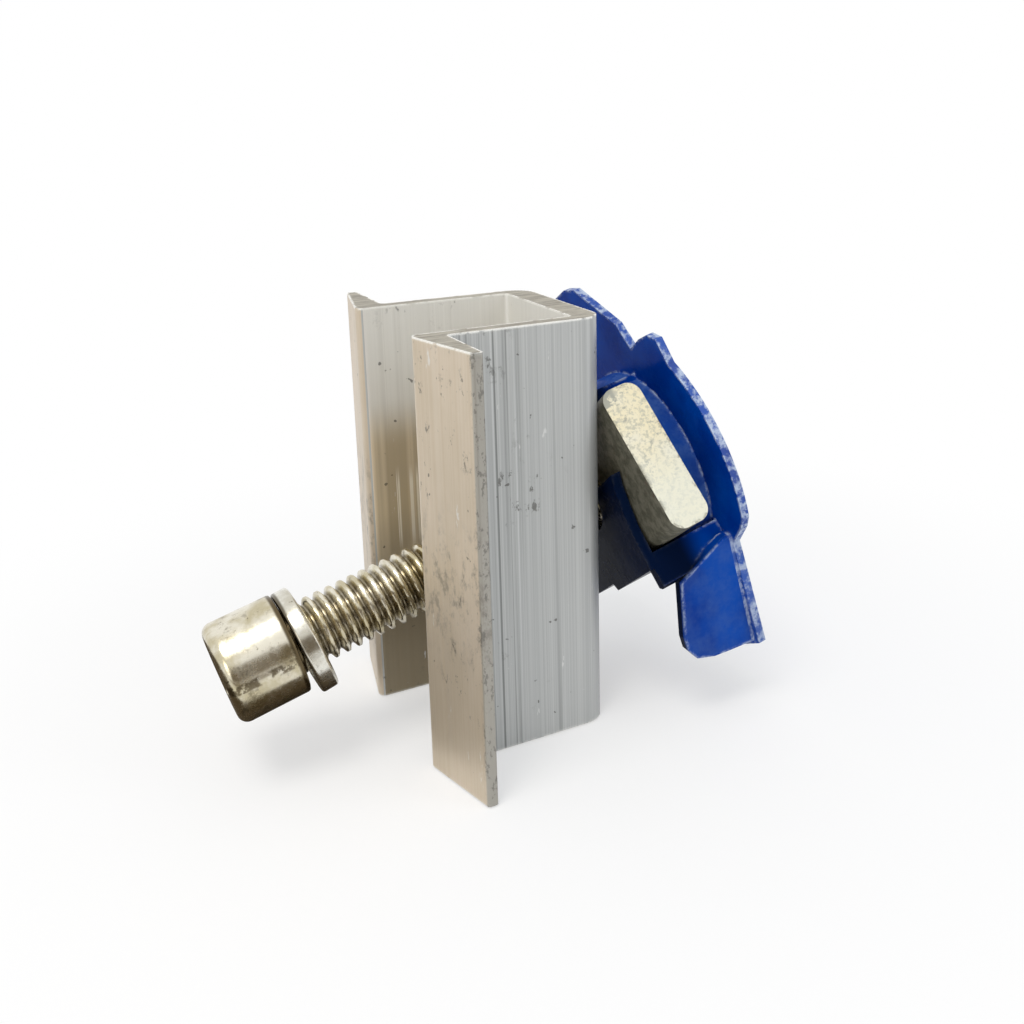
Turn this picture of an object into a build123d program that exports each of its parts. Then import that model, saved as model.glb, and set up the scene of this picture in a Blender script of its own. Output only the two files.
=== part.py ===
from build123d import *
import math
import os

# Solar mid clamp: extruded U-channel clamp, tilted socket head screw, split lock washer,
# rhomboid rail nut and its moulded retainer. Millimetres, +Z up, the clamp stands on its lower cut end.
# x = 0 is the middle of the web, y = 0 is the clamp's mirror plane, flanges lie towards -X.

os.makedirs("parts", exist_ok=True)

# Clamp channel
length = 50.8
outer_width = 20.7
leg_t = 1.8
web_t = 3.4
depth = 22.8
flange_reach = 9.6
flange_root_t = 3.5
flange_tip_t = 1.2
nose_flat = 1.1
front_corner_r = 0.9
tip_r = 0.35
web_corner_r = 2.8
inner_corner_r = 0.6
saw_chamfer = 0.25

# Screw, 5/16-18 x 2 in socket head
screw_d = 7.94
thread_pitch = 25.4 / 18
screw_len = 50.8
head_d = 11.9
head_h = 8.2
hex_af = 6.4
hex_depth = 5.2
head_edge_r = 1.2
tip_chamfer = 0.7
tilt = 14.9
bearing_to_web = 37.1

# Hole in the web, wide enough for the screw to stand tilted in it
web_hole_d = 9.5
web_hole_z = 24.0

# Split lock washer
washer_od = 12.7
washer_id = 9.2
washer_t = 2.0
washer_gap = 1.2
washer_clear = 0.05
washer_lean = 5.0
washer_drop = (washer_id - screw_d) / 2 - washer_clear

# Rail nut
nut_half_len = 17.2
nut_half_w = 9.2
nut_t = 5.1
nut_skew = 3.0
nut_front = 4.0
nut_turn = 145.2
nut_edge_r = 1.7
nut_off = 1.0
thread_clear = 0.05
nut_bore_d = screw_d + 2 * thread_clear

# Retainer
plate_front = 13.2
plate_t = 1.0
plate_r = 19.6
boss_r = 13.0
boss_dome = 2.5
retainer_gap = 0.3
retainer_bore_r = 4.6
skirt_t = 1.8
rib_t = 1.6
rib_reach = 2.6
tab_t = 1.4
bridge_t = 1.2
bridge_end = 9.0

# Derived places
half_w = outer_width / 2
web_back = web_t / 2
web_front = -web_t / 2
nose_x = web_back - depth
panel_x = nose_x + flange_root_t
tip_y = half_w + flange_reach
run = math.tan(math.radians(tilt))
axis_z = web_hole_z + web_back * run

# Local frame of everything on the screw: z runs along the screw from head to tip,
# zero where the screw axis leaves the back of the web; x is the row's +Y.
screw_dir = (math.cos(math.radians(tilt)), 0, math.sin(math.radians(tilt)))
on_screw = Plane(origin=(web_back, 0, axis_z), x_dir=(0, 1, 0), z_dir=screw_dir)
nut_along = (
    -screw_dir[2] * math.sin(math.radians(nut_turn)),
    math.cos(math.radians(nut_turn)),
    screw_dir[0] * math.sin(math.radians(nut_turn)),
)
on_nut = Plane(origin=(web_back, 0, axis_z), x_dir=nut_along, z_dir=screw_dir)

# ---------------------------------------------------------------- clamp channel
with BuildPart() as clamp_channel:
    with BuildSketch(Plane.XY):
        with BuildLine():
            Polyline(
                (nose_x, half_w - leg_t),
                (nose_x, half_w - leg_t + nose_flat),
                (panel_x - flange_tip_t, tip_y),
                (panel_x, tip_y),
                (panel_x, half_w),
                (web_back, half_w),
                (web_back, -half_w),
                (panel_x, -half_w),
                (panel_x, -tip_y),
                (panel_x - flange_tip_t, -tip_y),
                (nose_x, -half_w + leg_t - nose_flat),
                (nose_x, -half_w + leg_t),
                (web_front, -half_w + leg_t),
                (web_front, half_w - leg_t),
                close=True,
            )
        make_face()
    extrude(amount=length)
    uprights = clamp_channel.edges().filter_by(Axis.Z)
    fillet(uprights.filter_by(lambda e: abs(e.center().X - web_back) < 0.01), web_corner_r)
    uprights = clamp_channel.edges().filter_by(Axis.Z)
    inner_nose = uprights.filter_by(
        lambda e: abs(e.center().X - nose_x) < 0.01 and abs(e.center().Y) < half_w - leg_t + 0.01
    )
    fillet(inner_nose, front_corner_r)
    uprights = clamp_channel.edges().filter_by(Axis.Z)
    fillet(uprights.filter_by(lambda e: abs(e.center().Y) > tip_y - 0.01), tip_r)
    uprights = clamp_channel.edges().filter_by(Axis.Z)
    fillet(uprights.filter_by(lambda e: abs(e.center().X - web_front) < 0.01), inner_corner_r)
    uprights = clamp_channel.edges().filter_by(Axis.Z)
    fillet(
        uprights.filter_by(
            lambda e: abs(e.center().X - panel_x) < 0.01 and abs(abs(e.center().Y) - half_w) < 0.01
        ),
        inner_corner_r,
    )
    with Locations(Plane(origin=(0, 0, web_hole_z), x_dir=(0, 1, 0), z_dir=(1, 0, 0))):
        Cylinder(web_hole_d / 2, web_t + 6, mode=Mode.SUBTRACT)

clamp_channel.part.label = "clamp_channel"
export_step(clamp_channel.part, "parts/clamp_channel.step")

# ---------------------------------------------------------------- socket screw
with BuildPart() as socket_screw:
    with BuildSketch(on_screw.offset(-bearing_to_web)):
        Circle(screw_d / 2)
    extrude(amount=screw_len)
    tip_edge = socket_screw.edges().sort_by(lambda e: e.center().X)[-1]
    chamfer(tip_edge, tip_chamfer)
    with BuildSketch(on_screw.offset(-bearing_to_web)):
        Circle(head_d / 2)
    extrude(amount=-head_h)
    crown = socket_screw.edges().filter_by(GeomType.CIRCLE).sort_by(lambda e: e.center().X)[0]
    fillet(crown, head_edge_r)
    with BuildSketch(on_screw.offset(-bearing_to_web - head_h)):
        RegularPolygon(hex_af / 2, 6, major_radius=False)
    extrude(amount=hex_depth, mode=Mode.SUBTRACT)

socket_screw.part.label = "socket_screw"
export_step(socket_screw.part, "parts/socket_screw.step")

# ---------------------------------------------------------------- lock washer
# It hangs on the shank and leans, its top against the head, so that a wedge of gap opens below.
lean = math.radians(tilt + washer_lean)
washer_mid = on_screw.from_local_coords(
    (0, -washer_drop, -bearing_to_web + washer_clear + washer_od / 2 * math.sin(math.radians(washer_lean)))
)
on_washer = Plane(origin=washer_mid, x_dir=(0, 1, 0), z_dir=(math.cos(lean), 0, math.sin(lean)))
with BuildPart() as lock_washer:
    with BuildSketch(on_washer):
        Circle(washer_od / 2)
        Circle(washer_id / 2, mode=Mode.SUBTRACT)
        with Locations((washer_od / 2, 1.0)):
            Rectangle(washer_od, washer_gap, rotation=20, mode=Mode.SUBTRACT)
    extrude(amount=washer_t)
    rims = lock_washer.edges().filter_by(GeomType.CIRCLE)
    rims = rims.filter_by(lambda e: e.radius > washer_od / 2 - 0.01)
    fillet(rims, 0.35)

lock_washer.part.label = "lock_washer"
export_step(lock_washer.part, "parts/lock_washer.step")

# ---------------------------------------------------------------- rail nut
skew_run = nut_half_w * math.tan(math.radians(nut_skew))
with BuildPart() as rail_nut:
    with BuildSketch(on_nut.offset(nut_front)):
        with BuildLine():
            Polyline(
                (nut_half_len - skew_run, -nut_half_w + nut_off),
                (nut_half_len + skew_run, nut_half_w + nut_off),
                (-nut_half_len + skew_run, nut_half_w + nut_off),
                (-nut_half_len - skew_run, -nut_half_w + nut_off),
                close=True,
            )
        make_face()
    extrude(amount=nut_t)
    long_edges = rail_nut.edges().filter_by(lambda e: abs((e % 0.5).dot(Vector(*nut_along))) > 0.999)
    fillet(long_edges, nut_edge_r)
    with BuildSketch(on_screw.offset(nut_front - 1)):
        Circle(nut_bore_d / 2)
    extrude(amount=nut_t + 2, mode=Mode.SUBTRACT)

rail_nut.part.label = "rail_nut"
export_step(rail_nut.part, "parts/rail_nut.step")

# ---------------------------------------------------------------- nut retainer
# One moulding: a lobed plate behind the nut, a round boss between plate and nut,
# a stepped skirt and a rib down the nut's lower side, a skirt down its upper side,
# a bridge in front of it and a hanging tab on one edge.
nut_lo = nut_half_w + nut_off
nut_hi = nut_half_w - nut_off
skirt_in = nut_lo + retainer_gap
skirt_out = skirt_in + skirt_t
bridge_front = nut_front - retainer_gap - bridge_t
boss_front = nut_front + nut_t + retainer_gap / 2
plate_back = plate_front + plate_t


def on_arc(angle):
    return (plate_r * math.cos(math.radians(angle)), plate_r * math.sin(math.radians(angle)))


def turned(point, turn):
    return (turn * point[0], turn * point[1])


with BuildPart() as nut_retainer:
    with BuildSketch(on_screw.offset(plate_front)):
        with BuildLine():
            for turn in (1, -1):
                Polyline(
                    turned((16.3, 5.9), turn),
                    turned((17.2, 20.2), turn),
                    turned((13.0, 22.4), turn),
                    turned((9.9, 22.9), turn),
                    turned((0.5, 19.8), turn),
                    turned((-2.0, 17.0), turn),
                    turned((-4.6, 18.8), turn),
                    turned((-6.8, 19.8), turn),
                    turned((-8.8, 19.6), turn),
                    turned(on_arc(122), turn),
                )
                ThreePointArc(
                    turned(on_arc(122), turn),
                    turned(on_arc(152), turn),
                    turned(on_arc(184), turn),
                )
                Polyline(
                    turned(on_arc(184), turn),
                    turned((-18.7, -3.0), turn),
                    turned((-16.3, -5.9), turn),
                )
        make_face()
    extrude(amount=plate_t)
    with BuildSketch(on_screw.offset(boss_front)):
        Circle(boss_r)
    extrude(amount=plate_front - boss_front)
    crown = nut_retainer.edges().filter_by(GeomType.CIRCLE)
    crown = crown.sort_by(lambda e: on_screw.to_local_coords(e.center()).Z)[0]
    fillet(crown, boss_dome)
    # lower skirt, deeper over its right-hand part
    with BuildSketch(on_nut.offset(bridge_front)):
        with BuildLine():
            Polyline(
                (bridge_end, skirt_in),
                (bridge_end, skirt_out),
                (-bridge_end / 2, skirt_out),
                (-bridge_end / 2 - 0.6, skirt_in + 0.8),
                (-bridge_end - 4, skirt_in + 0.8),
                (-bridge_end - 4, skirt_in),
                close=True,
            )
        make_face()
    extrude(amount=plate_front - bridge_front)
    # rib that stands out of the skirt's end and carries the tab
    with BuildSketch(on_nut.offset(bridge_front + 0.5)):
        with BuildLine():
            Polyline(
                (bridge_end, skirt_in),
                (bridge_end, skirt_out + rib_reach - 0.3),
                (bridge_end - rib_t / 2, skirt_out + rib_reach),
                (bridge_end - rib_t, skirt_out + rib_reach - 0.3),
                (bridge_end - rib_t, skirt_in),
                close=True,
            )
        make_face()
    extrude(amount=plate_front - bridge_front - 0.5)
    # upper skirt, short so that it stays clear of the web
    with BuildSketch(on_nut.offset(nut_front + 1.6)):
        with BuildLine():
            Polyline(
                (-11.6, -nut_hi - retainer_gap),
                (-11.6, -nut_hi - retainer_gap - skirt_t),
                (bridge_end, -nut_hi - retainer_gap - skirt_t),
                (bridge_end, -nut_hi - retainer_gap),
                close=True,
            )
        make_face()
    extrude(amount=plate_front - nut_front - 1.6)
    # bridge across the nut's front face
    with BuildSketch(on_nut.offset(bridge_front)):
        with BuildLine():
            Polyline(
                (bridge_end, skirt_out),
                (bridge_end + 0.3, 6.8),
                (bridge_end + 1.1, 4.4),
                (bridge_end + 2.0, 2.0),
                (bridge_end + 3.2, 0.4),
                (-bridge_end - 3.2, 0.4),
                (-bridge_end - 4, skirt_in + 0.8),
                (-bridge_end / 2 - 0.6, skirt_in + 0.8),
                (-bridge_end / 2, skirt_out),
                close=True,
            )
        make_face()
    extrude(amount=bridge_t)
    # hanging tab
    tab_side = Plane(
        origin=on_screw.from_local_coords((-16.2, 0, 0)),
        x_dir=screw_dir,
        z_dir=(0, -1, 0),
    )
    with BuildSketch(tab_side):
        with BuildLine():
            Polyline(
                (5.1, -7.5),
                (12.0, -4.6),
                (plate_back, -4.6),
                (plate_back, -18.4),
                (plate_back - 0.9, -20.2),
                (9.4, -19.6),
                (7.2, -19.2),
                (4.8, -18.2),
                (3.9, -16.6),
                (3.8, -14.8),
                close=True,
            )
        make_face()
    extrude(amount=-tab_t)
    with BuildSketch(on_screw.offset(bridge_front - 1)):
        Circle(retainer_bore_r)
    extrude(amount=plate_back - bridge_front + 2, mode=Mode.SUBTRACT)

nut_retainer.part.label = "nut_retainer"
export_step(nut_retainer.part, "parts/nut_retainer.step")
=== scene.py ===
import bpy
import bmesh
import math
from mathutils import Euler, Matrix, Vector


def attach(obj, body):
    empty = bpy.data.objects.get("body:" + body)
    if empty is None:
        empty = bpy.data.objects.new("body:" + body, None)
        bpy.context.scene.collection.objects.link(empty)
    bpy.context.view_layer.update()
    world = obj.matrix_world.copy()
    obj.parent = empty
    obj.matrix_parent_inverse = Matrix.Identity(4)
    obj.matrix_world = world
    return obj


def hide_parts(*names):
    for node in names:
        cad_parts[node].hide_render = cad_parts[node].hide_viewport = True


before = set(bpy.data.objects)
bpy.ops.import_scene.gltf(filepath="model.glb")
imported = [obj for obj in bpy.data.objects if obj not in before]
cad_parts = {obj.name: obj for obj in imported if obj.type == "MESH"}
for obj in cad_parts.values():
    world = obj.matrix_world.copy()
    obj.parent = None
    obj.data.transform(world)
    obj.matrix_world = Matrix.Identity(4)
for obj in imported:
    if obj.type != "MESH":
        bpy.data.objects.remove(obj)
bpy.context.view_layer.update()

# The scene is in metres. Sizes written in millimetres are scaled by MM where they are used.
MM = 0.001

# ------------------------------------------------------------------ screw, as in the solids
TILT = math.radians(14.9)
ALONG = Vector((math.cos(TILT), 0, math.sin(TILT)))
UP = Vector((-math.sin(TILT), 0, math.cos(TILT)))
SIDE = Vector((0, 1, 0))
WEB_BACK = 1.7
WEB_HOLE_Z = 24.0
EXIT = Vector((WEB_BACK, 0, WEB_HOLE_Z + WEB_BACK * math.tan(TILT)))
BEARING = -37.1
SCREW_LEN = 50.8
HEAD_D = 11.9
HEAD_H = 8.2
HEAD_EDGE = 1.2
HEX_AF = 6.4
HEX_DEPTH = 5.2
MAJOR = 7.94
TIP_CHAMFER = 0.7
PITCH = 25.4 / 18

# ------------------------------------------------------------------ thread of the mesh, which the solids lack
THREAD_DEPTH = 0.52 * PITCH
ROOT_FLAT = 0.08
FLANK_WIDTH = 0.74
THREAD_START = 0.4
FADE_IN = 1.6
SEGMENTS = 96
STEPS_A_TURN = 12

# ------------------------------------------------------------------ rail nut and retainer, as in the solids
NUT_TURN = math.radians(145.2)
NUT_END = SIDE * math.cos(NUT_TURN) + UP * math.sin(NUT_TURN)
NUT_ACROSS = UP * math.cos(NUT_TURN) - SIDE * math.sin(NUT_TURN)
BOSS_R = 13.0
PLATE_FRONT = 13.2

# ------------------------------------------------------------------ clamp channel, as in the solids
LENGTH = 50.8
PANEL_X = -17.6
NOSE_X = -21.1
LEG_INSIDE_Y = 8.55
TIP_Y = 19.95

# ------------------------------------------------------------------ where colours change
INSIDE_Y = LEG_INSIDE_Y + 0.15
INSIDE_X = NOSE_X + 0.6
TIP_GREY_Y = TIP_Y - 0.15
RIM_R = 15.8
TAB_Y = -16.0
TAB_TOP = -5.5


# ------------------------------------------------------------------ shader nodes under short names
class Nodes:
    """Adds nodes to one node tree."""

    def __init__(self, tree):
        self.tree = tree

    def new(self, kind):
        return self.tree.nodes.new("ShaderNode" + kind)

    def feed(self, socket, value):
        """Link an output to a socket, or set the socket to a number or a colour."""
        if isinstance(value, (int, float)):
            socket.default_value = value
        elif isinstance(value, tuple):
            socket.default_value = (*value, 1)
        else:
            self.tree.links.new(value, socket)

    def calc(self, operation, a, b=None):
        node = self.new("Math")
        node.operation = operation
        self.feed(node.inputs[0], a)
        if b is not None:
            self.feed(node.inputs[1], b)
        return node.outputs[0]

    def times(self, first, *others):
        product = first
        for factor in others:
            product = self.calc("MULTIPLY", product, factor)
        return product

    def less(self, value, limit):
        return self.calc("LESS_THAN", value, limit)

    def more(self, value, limit):
        return self.calc("GREATER_THAN", value, limit)

    def inverse(self, value):
        return self.calc("SUBTRACT", 1.0, value)

    def distance(self, value, centre):
        return self.calc("ABSOLUTE", self.calc("SUBTRACT", value, centre))

    def span(self, value, lo, hi, a=0.0, b=1.0):
        """Smooth step from a at lo to b at hi."""
        node = self.new("MapRange")
        node.clamp = True
        node.interpolation_type = "SMOOTHSTEP"
        self.feed(node.inputs["Value"], value)
        self.feed(node.inputs["From Min"], lo)
        self.feed(node.inputs["From Max"], hi)
        self.feed(node.inputs["To Min"], a)
        self.feed(node.inputs["To Max"], b)
        return node.outputs["Result"]

    def mix(self, share, a, b):
        """Blend of two colours."""
        node = self.new("Mix")
        node.data_type = "RGBA"
        self.feed(node.inputs[0], share)
        self.feed(node.inputs[6], a)
        self.feed(node.inputs[7], b)
        return node.outputs[2]

    def vector(self, operation, a, b=None):
        node = self.new("VectorMath")
        node.operation = operation
        self.feed(node.inputs[0], a)
        if isinstance(b, Vector):
            node.inputs[1].default_value = b
        elif b is not None:
            self.feed(node.inputs[1], b)
        return node

    def place(self):
        return self.new("TexCoord").outputs["Object"]

    def axes(self, vector):
        node = self.new("SeparateXYZ")
        self.feed(node.inputs["Vector"], vector)
        return node.outputs["X"], node.outputs["Y"], node.outputs["Z"]

    def noise(self, scale, detail=4.0, rough=0.5):
        """Noise with its own scale along each axis, in cycles a metre."""
        mapping = self.new("Mapping")
        mapping.inputs["Scale"].default_value = scale
        self.feed(mapping.inputs["Vector"], self.place())
        node = self.new("TexNoise")
        node.inputs["Scale"].default_value = 1.0
        node.inputs["Detail"].default_value = detail
        node.inputs["Roughness"].default_value = rough
        self.feed(node.inputs["Vector"], mapping.outputs["Vector"])
        return node.outputs["Fac"]

    def facing(self, direction):
        """How far the surface faces a direction: 1 towards it, -1 away from it."""
        normal = self.new("NewGeometry").outputs["True Normal"]
        return self.vector("DOT_PRODUCT", normal, direction).outputs["Value"]

    def from_exit(self):
        """Place measured from where the screw's axis leaves the web's back."""
        return self.vector("SUBTRACT", self.place(), EXIT * MM).outputs["Vector"]

    def along(self, direction):
        return self.vector("DOT_PRODUCT", self.from_exit(), direction).outputs["Value"]

    def axis_distance(self):
        across = self.vector("CROSS_PRODUCT", self.from_exit(), ALONG)
        return self.vector("LENGTH", across.outputs["Vector"]).outputs["Value"]

    def edge_wear(self, radius):
        """Above 0 within a radius of an edge, and 0 on flat faces."""
        bevel = self.new("Bevel")
        bevel.samples = 6
        bevel.inputs["Radius"].default_value = radius
        normal = self.new("NewGeometry").outputs["Normal"]
        return self.inverse(self.vector("DOT_PRODUCT", bevel.outputs["Normal"], normal).outputs["Value"])

    def open_rays(self):
        """1 for the rays that show the plain white background."""
        path = self.new("LightPath")
        mirrored = self.calc("MAXIMUM", path.outputs["Is Glossy Ray"], path.outputs["Is Transmission Ray"])
        return self.calc("MAXIMUM", path.outputs["Is Camera Ray"], mirrored)


class Paint(Nodes):
    """A material whose colour is laid on coat by coat."""

    def __init__(self, name, metal, rough, base):
        self.material = bpy.data.materials.new(name)
        self.material.use_nodes = True
        super().__init__(self.material.node_tree)
        self.shader = self.tree.nodes["Principled BSDF"]
        self.set("Metallic", metal)
        self.set("Roughness", rough)
        self.set("Base Color", base)
        self.colour = base

    def set(self, socket, value):
        self.feed(self.shader.inputs[socket], value)

    def cover(self, share, colour):
        self.colour = self.mix(share, self.colour, colour)

    def finish(self, height, strength, depth, rough=None):
        self.set("Base Color", self.colour)
        if rough is not None:
            self.set("Roughness", rough)
        bump = self.new("Bump")
        bump.inputs["Strength"].default_value = strength
        bump.inputs["Distance"].default_value = depth
        self.feed(bump.inputs["Height"], height)
        self.set("Normal", bump.outputs["Normal"])
        return self.material


# ------------------------------------------------------------------ channel
def drawn_grey(paint, x, soft, streak):
    """Mill finish with die lines that run the whole length, strongest in a few bands."""
    band = paint.span(paint.noise((240, 240, 6), 2.0), 0.42, 0.60)
    dark_line = paint.times(
        paint.span(streak, 0.50, 0.38),
        band,
        paint.span(x, -2 * MM, -13 * MM, 0.45, 1.0),
    )
    paint.colour = paint.mix(soft, (0.43, 0.44, 0.435), (0.52, 0.53, 0.52))
    paint.cover(paint.times(dark_line, 0.85), (0.20, 0.205, 0.20))
    paint.cover(paint.times(paint.span(streak, 0.60, 0.68), band, 0.6), (0.72, 0.73, 0.73))
    return dark_line


def flared_fronts(paint, z, soft, front):
    """The flares' fronts and the noses are warmer and smoother."""
    cloud = paint.noise((60, 60, 35), 5.0, 0.6)
    warm = paint.mix(paint.span(cloud, 0.35, 0.65), (0.56, 0.47, 0.35), (0.67, 0.57, 0.45))
    warm = paint.mix(paint.times(soft, 0.22), warm, (0.68, 0.62, 0.54))
    warm = paint.mix(paint.times(paint.span(z, 40 * MM, 0.0), 0.12), warm, (0.42, 0.37, 0.28))
    paint.cover(front, warm)


def painted_light_and_gold_inside(paint, x, z, side, streak):
    """The inner walls are painted lighter as painted light for their shade, and turn golden brown towards the
    foot, with bright streaks in a band at the screw's height.
    """
    inside = paint.times(paint.less(side, INSIDE_Y * MM), paint.more(x, INSIDE_X * MM))
    # painted light: the inner walls lie in shade and are painted lighter to make up for it
    paint.cover(paint.times(inside, 0.75), (0.92, 0.90, 0.84))
    wide_streak = paint.noise((420, 420, 4), 3.0)
    gold = paint.mix(paint.span(wide_streak, 0.40, 0.60), (0.48, 0.39, 0.25), (0.80, 0.68, 0.49))
    gold = paint.mix(paint.span(z, 22 * MM, 10 * MM), gold, (0.22, 0.17, 0.09))
    # bright streaks in a band at the screw's height
    streak_band = paint.times(
        paint.span(z, 31 * MM, 28 * MM),
        paint.span(z, 19 * MM, 22 * MM),
        paint.span(streak, 0.56, 0.60),
    )
    gold = paint.mix(paint.times(streak_band, 0.8), gold, (0.95, 0.90, 0.78))
    low = paint.span(z, 40 * MM, 33 * MM)
    paint.cover(paint.times(inside, low, 0.9), gold)


def scuffs(paint, scuff):
    """Clustered scuffs, dark specks and pale scrapes."""
    cluster = paint.span(paint.noise((75, 75, 60), 2.0), 0.50, 0.62)
    paint.cover(paint.times(paint.span(scuff, 0.585, 0.64), cluster, 0.75), (0.10, 0.095, 0.085))
    speck = paint.span(paint.noise((900, 900, 900), 2.0, 0.4), 0.735, 0.76)
    paint.cover(paint.times(speck, 0.7), (0.08, 0.075, 0.065))
    scrape = paint.span(paint.noise((700, 700, 180), 5.0, 0.65), 0.66, 0.69)
    paint.cover(paint.times(scrape, 0.6), (0.74, 0.74, 0.72))


def sawn_ends(paint, z, end_face):
    """The cut ends are brownish and brushed, with bright burr lines at their rims."""
    saw = paint.noise((260, 1800, 260), 5.0, 0.65)
    sawn = paint.mix(paint.span(saw, 0.35, 0.65), (0.21, 0.185, 0.14), (0.43, 0.395, 0.315))
    paint.cover(end_face, sawn)
    ragged = paint.span(paint.noise((700, 700, 700), 4.0), 0.36, 0.46)
    from_middle = paint.distance(z, LENGTH / 2 * MM)
    burr = paint.times(
        paint.span(paint.edge_wear(0.5 * MM), 0.012, 0.05),
        ragged,
        paint.span(from_middle, (LENGTH / 2 - 0.6) * MM, (LENGTH / 2 - 0.2) * MM),
        paint.span(z, 0.0, 20 * MM, 0.35, 1.0),
    )
    paint.cover(burr, (1.0, 0.99, 0.94))


def handled_flares(paint, z, side, front, end_face, scuff):
    """Grey tip faces, smudges at mid height on the fronts, and grime along the sharp edges."""
    tip = paint.times(paint.span(side, (TIP_GREY_Y - 0.4) * MM, TIP_GREY_Y * MM), paint.inverse(end_face))
    paint.cover(paint.times(tip, 0.85), (0.33, 0.325, 0.30))
    handled = paint.span(paint.distance(z, 24 * MM), 11 * MM, 2 * MM)
    paint.cover(paint.times(front, handled, paint.span(scuff, 0.48, 0.62, 0.0, 0.6)), (0.22, 0.20, 0.17))
    grit = paint.span(paint.noise((1300, 1300, 800), 5.0, 0.7), 0.53, 0.61)
    edge = paint.span(side, (TIP_GREY_Y - 0.7) * MM, TIP_GREY_Y * MM)
    paint.cover(paint.times(edge, grit, 0.7), (0.15, 0.145, 0.13))


def channel_metal():
    paint = Paint("channel_metal", 0.45, 0.42, (0.6, 0.6, 0.58))
    x, y, z = paint.axes(paint.place())
    side = paint.calc("ABSOLUTE", y)
    end_face = paint.span(paint.calc("ABSOLUTE", paint.facing(Vector((0, 0, 1)))), 0.6, 0.8)
    front = paint.times(paint.less(x, PANEL_X * MM), paint.more(side, INSIDE_Y * MM))
    fine = paint.noise((5200, 5200, 7), 3.0, 0.6)
    soft = paint.span(fine, 0.30, 0.70)
    streak = paint.noise((2300, 2300, 5), 2.0)
    scuff = paint.noise((520, 520, 330), 6.0, 0.75)
    dark_line = drawn_grey(paint, x, soft, streak)
    flared_fronts(paint, z, soft, front)
    painted_light_and_gold_inside(paint, x, z, side, streak)
    scuffs(paint, scuff)
    sawn_ends(paint, z, end_face)
    handled_flares(paint, z, side, front, end_face, scuff)
    height = paint.calc("SUBTRACT", paint.times(soft, 0.5), paint.times(dark_line, 0.5))
    return paint.finish(height, 0.10, 0.1 * MM, paint.span(fine, 0.3, 0.7, 0.50, 0.38))


# ------------------------------------------------------------------ screw and washer
def steel(name, low_tint, high_tint, dark):
    paint = Paint(name, 1.0, 0.24, high_tint)
    broad = paint.noise((260, 260, 260), 5.0, 0.6)
    stain = paint.noise((620, 620, 620), 6.0, 0.7)
    pits = paint.span(paint.noise((1400, 1400, 1400), 3.0, 0.6), 0.67, 0.72)
    paint.colour = paint.mix(paint.span(broad, 0.38, 0.62), low_tint, high_tint)
    paint.cover(paint.span(stain, 0.54, 0.68, 0.0, 0.6), dark)
    paint.cover(paint.times(pits, 0.8), dark)
    # painted shade: darker where it looks down
    paint.cover(paint.span(paint.facing(Vector((0, 0, 1))), -0.30, -0.95, 0.0, 0.6), dark)
    # darker in the thread's roots and in a ring at the head's underside
    paint.cover(paint.span(paint.axis_distance(), 3.65 * MM, 3.30 * MM, 0.0, 0.7), dark)
    depth = paint.along(ALONG)
    paint.cover(paint.span(paint.distance(depth, BEARING * MM), 0.7 * MM, 0.4 * MM), dark)
    # painted reflection: a dark pitted line along the head where its reflected dark band begins
    row = paint.distance(paint.along(UP), 0.6 * MM)
    pitted_reflection_edge = paint.times(
        paint.span(row, 0.7 * MM, 0.4 * MM),
        paint.span(stain, 0.44, 0.52),
        paint.less(depth, BEARING * MM),
    )
    paint.cover(paint.times(pitted_reflection_edge, 0.85), dark)
    relief = paint.calc("SUBTRACT", paint.times(broad, 0.5), paint.times(pits, 0.5))
    relief = paint.calc("SUBTRACT", relief, paint.times(pitted_reflection_edge, 0.4))
    return paint.finish(relief, 0.16, 0.1 * MM, paint.span(stain, 0.35, 0.7, 0.17, 0.34))


# ------------------------------------------------------------------ rail nut
def sheared_ends(paint, grain, spots):
    """Pale and grainy, whiter towards the low side, with one corner chipped grey and nicked edges."""
    tone = paint.noise((130, 130, 130), 4.0)
    paint.colour = paint.mix(paint.span(tone, 0.38, 0.62), (0.76, 0.74, 0.63), (0.79, 0.72, 0.51))
    paint.cover(paint.span(grain, 0.47, 0.60, 0.0, 0.75), (0.47, 0.46, 0.37))
    paint.cover(paint.span(spots, 0.58, 0.64, 0.0, 0.7), (0.33, 0.33, 0.28))
    across = paint.along(NUT_ACROSS)
    paint.cover(paint.span(across, -2 * MM, 6 * MM, 0.0, 0.7), (0.76, 0.77, 0.67))
    ragged = paint.calc("ADD", across, paint.span(spots, 0.3, 0.7, -1.2 * MM, 1.2 * MM))
    front_edge = paint.span(paint.along(ALONG), 6.4 * MM, 5.6 * MM)
    paint.cover(paint.times(paint.span(ragged, -6.4 * MM, -7.0 * MM), front_edge), (0.38, 0.38, 0.32))
    nick = paint.times(paint.span(paint.edge_wear(0.7 * MM), 0.01, 0.08), paint.span(spots, 0.50, 0.56))
    paint.cover(paint.times(nick, 0.8), (0.16, 0.15, 0.11))


def rolled_faces(paint, spots):
    """Dark olive with a little rust; the dark tone is partly painted shade, as on the face towards the web.
    """
    olive = paint.mix(paint.span(spots, 0.4, 0.6), (0.10, 0.095, 0.065), (0.19, 0.18, 0.135))
    rust = paint.span(paint.noise((700, 700, 700), 5.0, 0.7), 0.62, 0.70, 0.0, 0.6)
    return paint.mix(rust, olive, (0.12, 0.06, 0.03))


def zinc():
    paint = Paint("zinc_sand", 0.25, 0.55, (0.7, 0.68, 0.58))
    grain = paint.noise((2000, 2000, 2000), 6.0, 0.7)
    spots = paint.noise((850, 850, 850), 6.0, 0.65)
    sheared_ends(paint, grain, spots)
    at_end = paint.span(paint.calc("ABSOLUTE", paint.facing(NUT_END)), 0.86, 0.96)
    # the faces other than the ends are dark olive, partly painted shade
    paint.colour = paint.mix(at_end, rolled_faces(paint, spots), paint.colour)
    return paint.finish(grain, 0.45, 0.2 * MM)


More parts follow.
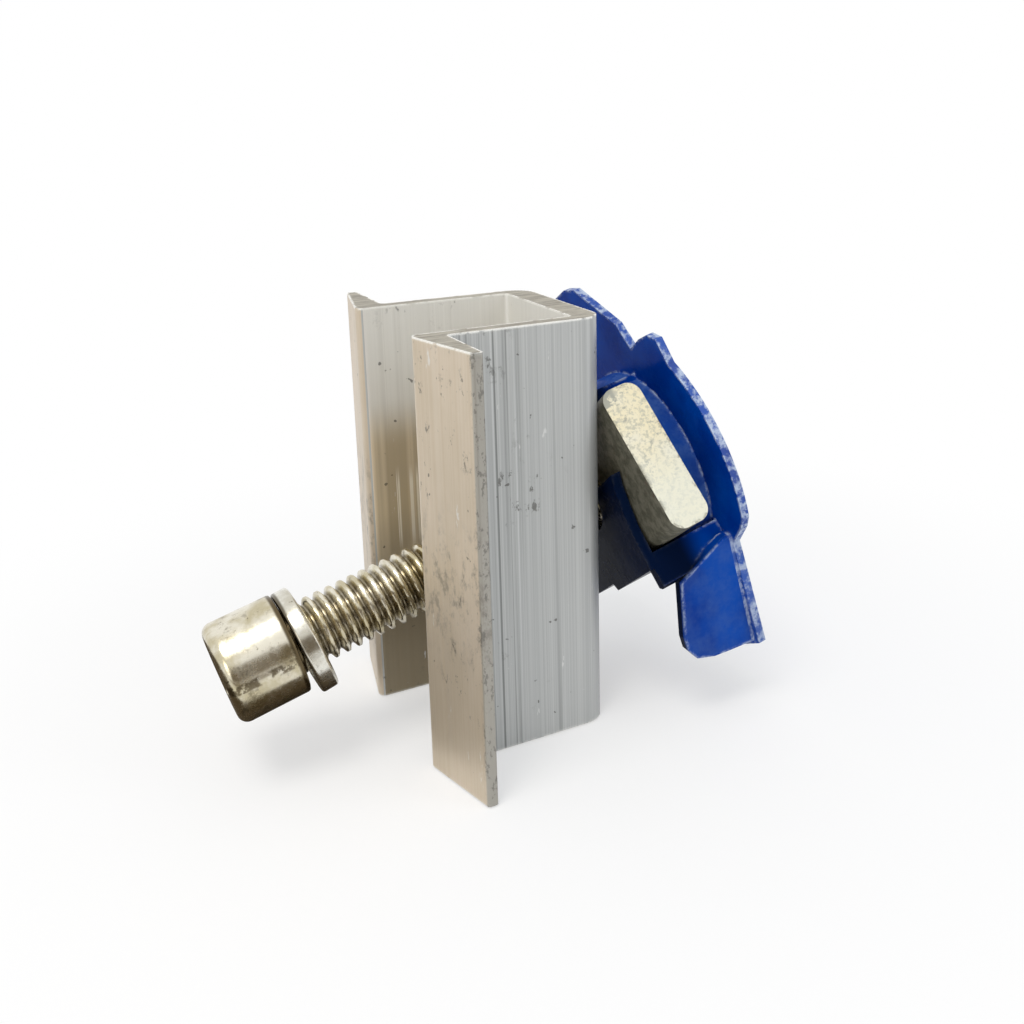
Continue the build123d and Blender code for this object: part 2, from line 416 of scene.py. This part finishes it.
# ------------------------------------------------------------------ nut retainer
def boss_painted_highlight(paint, haze):
    """Painted highlight on the crown of the boss, pale and hazy."""
    facing = paint.facing(ALONG)
    reach = paint.axis_distance()
    crown_highlight = paint.times(
        paint.span(facing, -0.97, -0.75),
        paint.span(facing, 0.5, 0.2),
        paint.span(reach, 9.8 * MM, 10.8 * MM),
        paint.less(reach, (BOSS_R + 0.05) * MM),
        paint.span(haze, 0.40, 0.60, 0.25, 0.75),
    )
    # painted highlight: lighter blue on the boss's rounded crown
    paint.cover(crown_highlight, (0.06, 0.14, 0.42))


def rubbed_rims(paint):
    """Edges are rubbed whitish, most of all the plate's rim."""
    chip = paint.noise((620, 620, 620), 6.0, 0.75)
    wear = paint.times(paint.span(paint.edge_wear(0.7 * MM), 0.01, 0.16), paint.span(chip, 0.42, 0.60))
    paint.cover(paint.times(wear, 0.85), (0.52, 0.60, 0.74))
    rim = paint.times(
        paint.span(paint.calc("ABSOLUTE", paint.facing(ALONG)), 0.35, 0.15),
        paint.more(paint.axis_distance(), RIM_R * MM),
        paint.more(paint.along(ALONG), (PLATE_FRONT - 0.4) * MM),
        paint.span(chip, 0.45, 0.60, 0.10, 0.85),
    )
    paint.cover(rim, (0.50, 0.58, 0.72))
    return wear


def hazy_tab_and_painted_shade(paint, haze):
    """The tab is hazy, and the bridge and the skirts' fronts behind the web are painted nearly black as
    painted shade.
    """
    y = paint.axes(paint.place())[1]
    low = paint.span(paint.along(UP), (TAB_TOP + 1.0) * MM, TAB_TOP * MM)
    tab = paint.times(paint.span(y, (TAB_Y + 0.4) * MM, TAB_Y * MM), low)
    paint.cover(paint.times(tab, paint.span(haze, 0.35, 0.65, 0.08, 0.28)), (0.09, 0.15, 0.32))
    # painted shade: the fronts close to the web are painted nearly black
    front = paint.span(paint.along(ALONG), 10.8 * MM, 7.0 * MM, 0.0, 0.96)
    paint.cover(paint.times(front, paint.inverse(tab)), (0.002, 0.005, 0.015))


def blue():
    paint = Paint("blue_moulding", 0.0, 0.28, (0.0, 0.03, 0.28))
    paint.set("Specular Tint", (0.25, 0.45, 1.0))
    paint.set("IOR", 1.08)
    tone = paint.noise((110, 110, 110), 3.0)
    haze = paint.noise((260, 260, 260), 7.0, 0.7)
    paint.colour = paint.mix(paint.span(tone, 0.35, 0.65), (0.0, 0.030, 0.26), (0.0, 0.062, 0.40))
    paint.cover(paint.span(haze, 0.56, 0.72, 0.0, 0.16), (0.06, 0.16, 0.42))
    boss_painted_highlight(paint, haze)
    wear = rubbed_rims(paint)
    hazy_tab_and_painted_shade(paint, haze)
    height = paint.calc("ADD", tone, paint.times(wear, 0.3))
    return paint.finish(height, 0.2, 0.5 * MM, paint.span(haze, 0.4, 0.7, 0.20, 0.38))


# ------------------------------------------------------------------ dressing the solids
def dress(node, mat):
    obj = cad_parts[node]
    obj.data.materials.clear()
    obj.data.materials.append(mat)


STEEL = steel("screw_steel", (0.56, 0.50, 0.34), (0.80, 0.76, 0.64), (0.13, 0.10, 0.055))
WASHER = steel("washer_steel", (0.60, 0.57, 0.48), (0.82, 0.81, 0.74), (0.16, 0.14, 0.10))
dress("clamp_channel", channel_metal())
dress("lock_washer", WASHER)
dress("rail_nut", zinc())
dress("nut_retainer", blue())


# ------------------------------------------------------------------ threaded screw
def even(place, radius):
    return place, [radius] * SEGMENTS


def hexagon(place, share=1.0):
    radii = []
    for i in range(SEGMENTS):
        turn = (2 * math.pi * i / SEGMENTS) % (math.pi / 3) - math.pi / 6
        radii.append(HEX_AF / 2 / math.cos(turn) * share)
    return place, radii


def socket_rings():
    """From the middle of the hex socket's floor up its walls and over its countersunk rim."""
    top = BEARING - HEAD_H
    rings = [even(top + HEX_DEPTH, 0.6), hexagon(top + HEX_DEPTH - 0.3, 0.93)]
    for k in range(5):
        rings.append(hexagon(top + (HEX_DEPTH - 0.4) * (4 - k) / 4 + 0.3 * k / 4))
    corner = HEX_AF / math.sqrt(3)
    rings.append(even(top + 0.05, corner + 0.12))
    rings.append(even(top, corner + 0.25))
    return rings


def head_rings():
    """Over the head's rounded edge, along its side and in under it to the shank."""
    top = BEARING - HEAD_H
    head_r = HEAD_D / 2
    rings = [even(top, head_r - HEAD_EDGE - 0.6)]
    for k in range(9):
        turn = math.pi / 2 * k / 8
        place = top + HEAD_EDGE - HEAD_EDGE * math.cos(turn)
        rings.append(even(place, head_r - HEAD_EDGE + HEAD_EDGE * math.sin(turn)))
    for k in range(1, 12):
        rings.append(even(top + HEAD_EDGE + (HEAD_H - HEAD_EDGE - 0.3) * k / 12, head_r))
    rings.append(even(BEARING - 0.3, head_r))
    rings.append(even(BEARING - 0.08, head_r - 0.08))
    rings.append(even(BEARING, head_r - 0.3))
    rings.append(even(BEARING, MAJOR / 2))
    return rings


def thread_radius(place, i):
    """Right-hand thread that fades in under the head and ends in a chamfer."""
    phase = (place / PITCH - i / SEGMENTS) % 1.0
    flank = abs(phase - 0.5) * 2
    rise = min(1.0, max(0.0, (flank - ROOT_FLAT) / FLANK_WIDTH))
    crest = 0.5 - 0.5 * math.cos(math.pi * rise)
    fade_in = min(1.0, max(0.0, (place - BEARING - THREAD_START) / FADE_IN))
    radius = MAJOR / 2 - THREAD_DEPTH * (1 - crest) * fade_in
    to_tip = BEARING + SCREW_LEN - place
    if to_tip < TIP_CHAMFER:
        return min(radius, MAJOR / 2 - TIP_CHAMFER + to_tip)
    return radius


def shank_rings():
    rings = []
    count = int(SCREW_LEN / PITCH * STEPS_A_TURN)
    for k in range(1, count):
        place = BEARING + SCREW_LEN * k / count
        rings.append((place, [thread_radius(place, i) for i in range(SEGMENTS)]))
    rings.append(even(BEARING + SCREW_LEN, MAJOR / 2 - TIP_CHAMFER - 0.05))
    return rings


def loft(name, rings):
    """Smooth closed mesh through rings round the screw's axis."""
    bm = bmesh.new()
    loops = []
    for place, radii in rings:
        loop = []
        for i, radius in enumerate(radii):
            turn = 2 * math.pi * i / SEGMENTS
            point = EXIT + ALONG * place + SIDE * (radius * math.cos(turn)) + UP * (radius * math.sin(turn))
            loop.append(bm.verts.new(point * MM))
        loops.append(loop)
    for a, b in zip(loops, loops[1:]):
        for i in range(SEGMENTS):
            j = (i + 1) % SEGMENTS
            bm.faces.new((a[i], a[j], b[j], b[i]))
    bm.faces.new(list(reversed(loops[0])))
    bm.faces.new(loops[-1])
    bmesh.ops.recalc_face_normals(bm, faces=bm.faces)
    mesh = bpy.data.meshes.new(name)
    bm.to_mesh(mesh)
    bm.free()
    for poly in mesh.polygons:
        poly.use_smooth = True
    return mesh


def threaded_screw():
    mesh = loft("threaded_screw", socket_rings() + head_rings() + shank_rings())
    mesh.materials.append(STEEL)
    mesh.set_sharp_from_angle(angle=math.radians(38))
    obj = bpy.data.objects.new("threaded_screw", mesh)
    bpy.context.scene.collection.objects.link(obj)
    return obj


screw = threaded_screw()
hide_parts("socket_screw")
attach(screw, "screw")


# ------------------------------------------------------------------ floor, studio cards and world
def white_floor():
    """White floor that keeps half of the shadow by the object and fades to plain white away from it."""
    paint = Paint("floor", 0.0, 0.9, (0.95, 0.95, 0.95))
    paint.set("Specular IOR Level", 0.0)
    reach = paint.vector("LENGTH", paint.place()).outputs["Value"]
    whiteness = paint.span(reach, 0.040, 0.11, 0.5, 1.0)
    white = paint.new("Emission")
    white.inputs["Color"].default_value = (1, 1, 1, 1)
    white.inputs["Strength"].default_value = 1.0
    blend = paint.new("MixShader")
    paint.feed(blend.inputs[0], paint.times(whiteness, paint.open_rays()))
    paint.feed(blend.inputs[1], paint.shader.outputs[0])
    paint.feed(blend.inputs[2], white.outputs[0])
    paint.feed(paint.tree.nodes["Material Output"].inputs["Surface"], blend.outputs[0])
    bpy.ops.mesh.primitive_plane_add(size=6, location=(0, 0, -0.0002))
    floor = bpy.context.object
    floor.name = "floor"
    floor.data.materials.append(paint.material)


def studio_card(name, size, centre, turn, colour):
    """Dark card that shows only in reflections, like a photographer's flag."""
    bpy.ops.mesh.primitive_plane_add(size=1, location=centre, rotation=turn)
    card = bpy.context.object
    card.name = name
    card.scale = (size[0], size[1], 1)
    paint = Paint(name, 0.0, 0.9, colour)
    tone = paint.span(paint.noise((6, 6, 6)), 0.3, 0.7)
    paint.set("Base Color", paint.mix(tone, tuple(0.7 * c for c in colour), colour))
    card.data.materials.append(paint.material)
    card.visible_camera = False
    card.visible_diffuse = False
    card.visible_shadow = False


def background(nodes, colour, strength):
    node = nodes.new("Background")
    node.inputs["Color"].default_value = (*colour, 1)
    node.inputs["Strength"].default_value = strength
    return node.outputs[0]


def white_world():
    world = bpy.data.worlds.new("studio")
    bpy.context.scene.world = world
    world.use_nodes = True
    nodes = Nodes(world.node_tree)
    nodes.tree.nodes.clear()
    blend = nodes.new("MixShader")
    nodes.feed(blend.inputs[0], nodes.open_rays())
    nodes.feed(blend.inputs[1], background(nodes, (0.95, 0.97, 1.0), 0.66))
    nodes.feed(blend.inputs[2], background(nodes, (1, 1, 1), 1.0))
    nodes.feed(nodes.new("OutputWorld").inputs["Surface"], blend.outputs[0])


white_floor()
LYING = (0, 0, 0)
STANDING = (math.radians(90), 0, 0)
BROWN = (0.26, 0.21, 0.15)
studio_card("under_card", (0.10, 0.05), (-0.074, 0.009, 0.0006), LYING, (0.09, 0.065, 0.035))
studio_card("bench_card", (0.14, 0.16), (-0.094, -0.135, 0.0006), LYING, BROWN)
studio_card("front_card", (0.22, 0.14), (-0.07, -0.22, 0.075), STANDING, BROWN)
white_world()


# ------------------------------------------------------------------ lamps and camera
def lamp(name, place, size, power, colour):
    """Round area lamp aimed at the clamp's lower half."""
    data = bpy.data.lights.new(name, "AREA")
    data.shape = "DISK"
    data.size = size
    data.energy = power
    data.color = colour
    obj = bpy.data.objects.new(name, data)
    bpy.context.scene.collection.objects.link(obj)
    obj.location = place
    aim = Vector((0, 0, 0.02)) - Vector(place)
    obj.rotation_euler = aim.to_track_quat("-Z", "Y").to_euler()


def photo_camera():
    """Camera at the photo's viewing angle."""
    data = bpy.data.cameras.new("camera")
    data.sensor_width = 36
    data.lens = 40.561
    data.shift_x = -0.08384
    data.shift_y = -0.13232
    data.clip_start = 0.001
    obj = bpy.data.objects.new("camera", data)
    bpy.context.scene.collection.objects.link(obj)
    obj.location = (-0.0622, -0.12197, 0.07653)
    obj.rotation_euler = Euler(tuple(math.radians(v) for v in (75.666, 0.512, -29.525)), "XYZ")
    bpy.context.scene.camera = obj


lamp("key", (-0.25, -0.15, 0.62), 0.30, 1.65, (1.0, 0.97, 0.92))
lamp("front", (-0.42, -0.35, 0.22), 0.25, 0.35, (1.0, 0.95, 0.88))
lamp("right", (0.35, -0.35, 0.30), 0.25, 0.3, (0.95, 0.98, 1.0))
photo_camera()
bpy.context.scene.view_settings.view_transform = "Standard"
